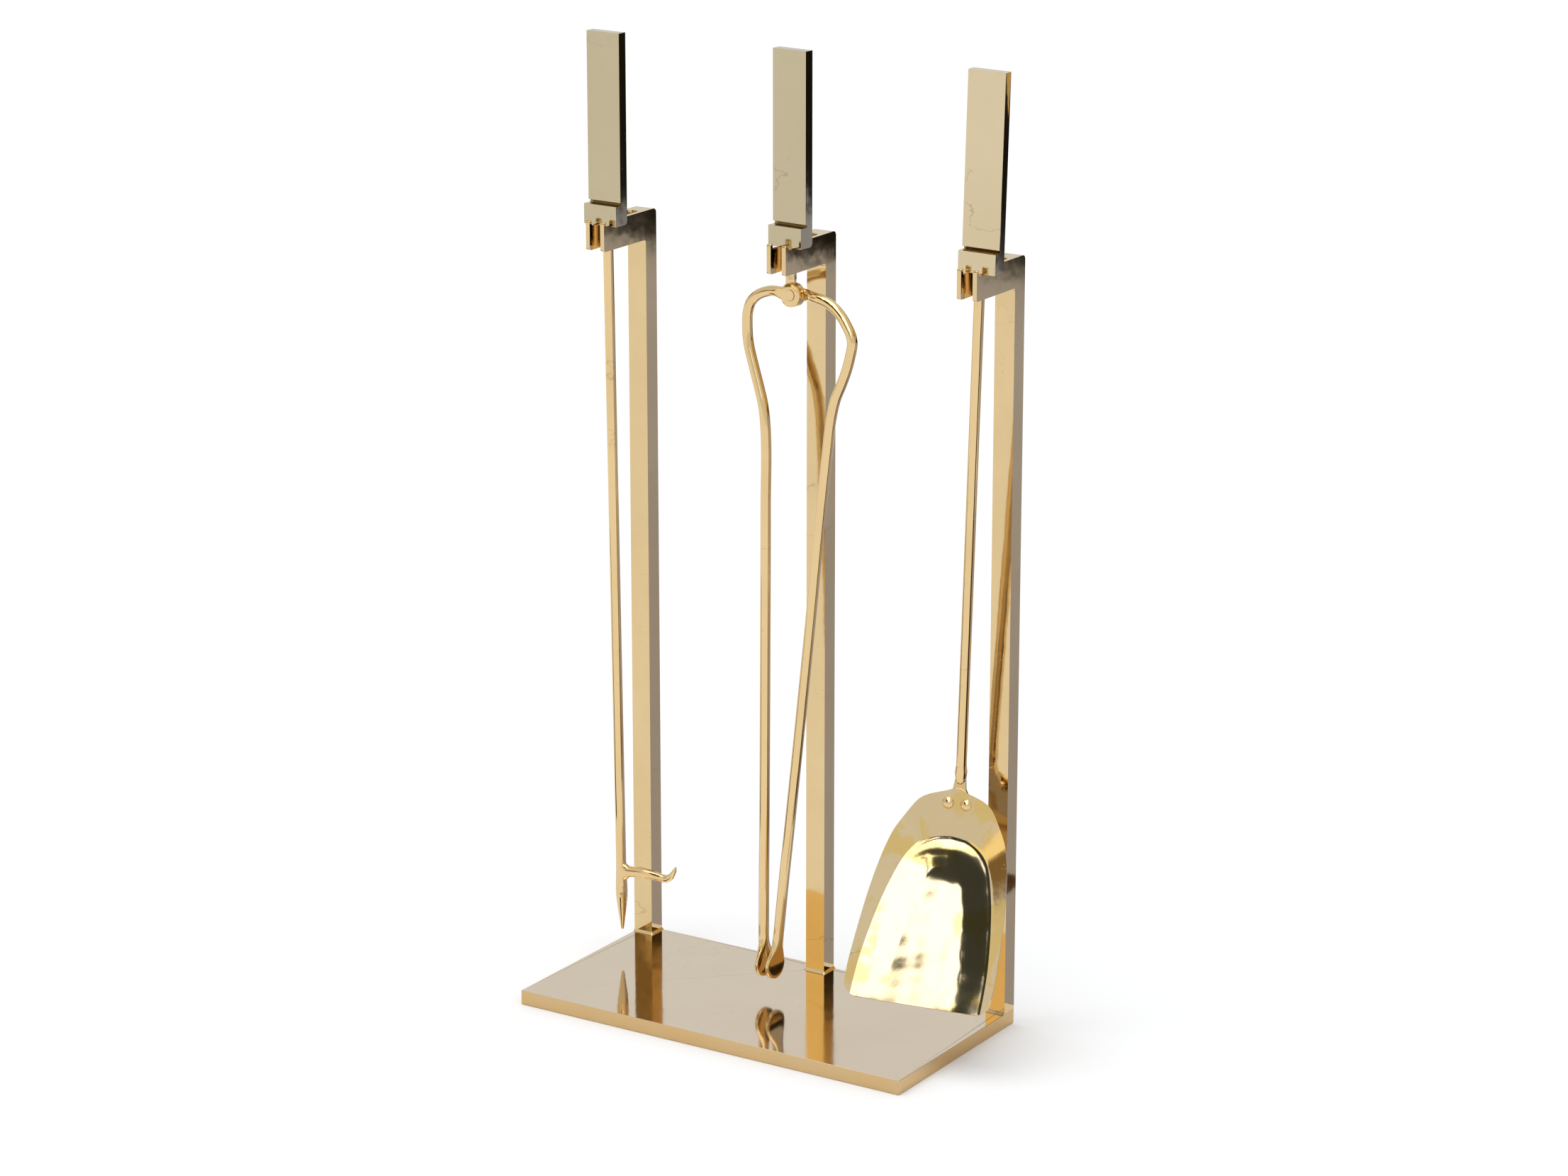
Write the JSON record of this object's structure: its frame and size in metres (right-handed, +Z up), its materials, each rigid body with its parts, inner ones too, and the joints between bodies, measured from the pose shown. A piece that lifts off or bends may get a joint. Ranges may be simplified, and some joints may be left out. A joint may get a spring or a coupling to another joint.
{
  "type": "fireplace tool set",
  "caption": "Brass fireplace tool set: a rectangular plate with three square posts, each holding a poker, tongs or an ash shovel in a forked arm.",
  "frame": {"origin": "centre of the underside of the base plate", "axes": "+Z up along the posts, +X along the row of posts towards the shovel, +Y towards the back where the posts stand"},
  "size_m": [0.3893, 0.17, 0.7401],
  "materials": {
    "brass": "polished",
    "steel": "zinc plated"
  },
  "bodies": {
    "stand": {"base_plate": "brass", "post_left": "brass", "post_center": "brass", "post_right": "brass", "base_screws": "steel"},
    "poker": {"poker_handle": "brass", "poker_shaft": "brass", "poker_hook": "brass"},
    "tongs": {"tongs_handle": "brass", "tongs_stem": "brass", "tongs_rivet": "brass"},
    "tongs_left": {"tongs_arm_left": "brass"},
    "tongs_right": {"tongs_arm_right": "brass"},
    "shovel": {"shovel_handle": "brass", "shovel_shaft": "brass", "shovel_pan": "brass", "shovel_rivets": "brass"}
  },
  "joints": [
    {"name": "poker_draw", "type": "slide", "parent": "stand", "child": "poker", "axis": [-0.0104, -0.7071, 0.7071], "range_m": [0, 0.15]},
    {"name": "tongs_draw", "type": "slide", "parent": "stand", "child": "tongs", "axis": [0, -0.9285, 0.3714], "range_m": [0, 0.15]},
    {"name": "tongs_left_hinge", "type": "hinge", "parent": "tongs", "child": "tongs_left", "pos_m": [0.00171, 0.03494, 0.55748], "axis": [0.0749, 0.9963, -0.0419], "range_deg": [-0.3, 9]},
    {"name": "tongs_right_hinge", "type": "hinge", "parent": "tongs", "child": "tongs_right", "pos_m": [0.00171, 0.03494, 0.55748], "axis": [-0.0749, -0.9963, 0.0419], "range_deg": [-0.3, 12]},
    {"name": "shovel_draw", "type": "slide", "parent": "stand", "child": "shovel", "axis": [0.0351, -0.7067, 0.7067], "range_m": [0, 0.15]}
  ]
}
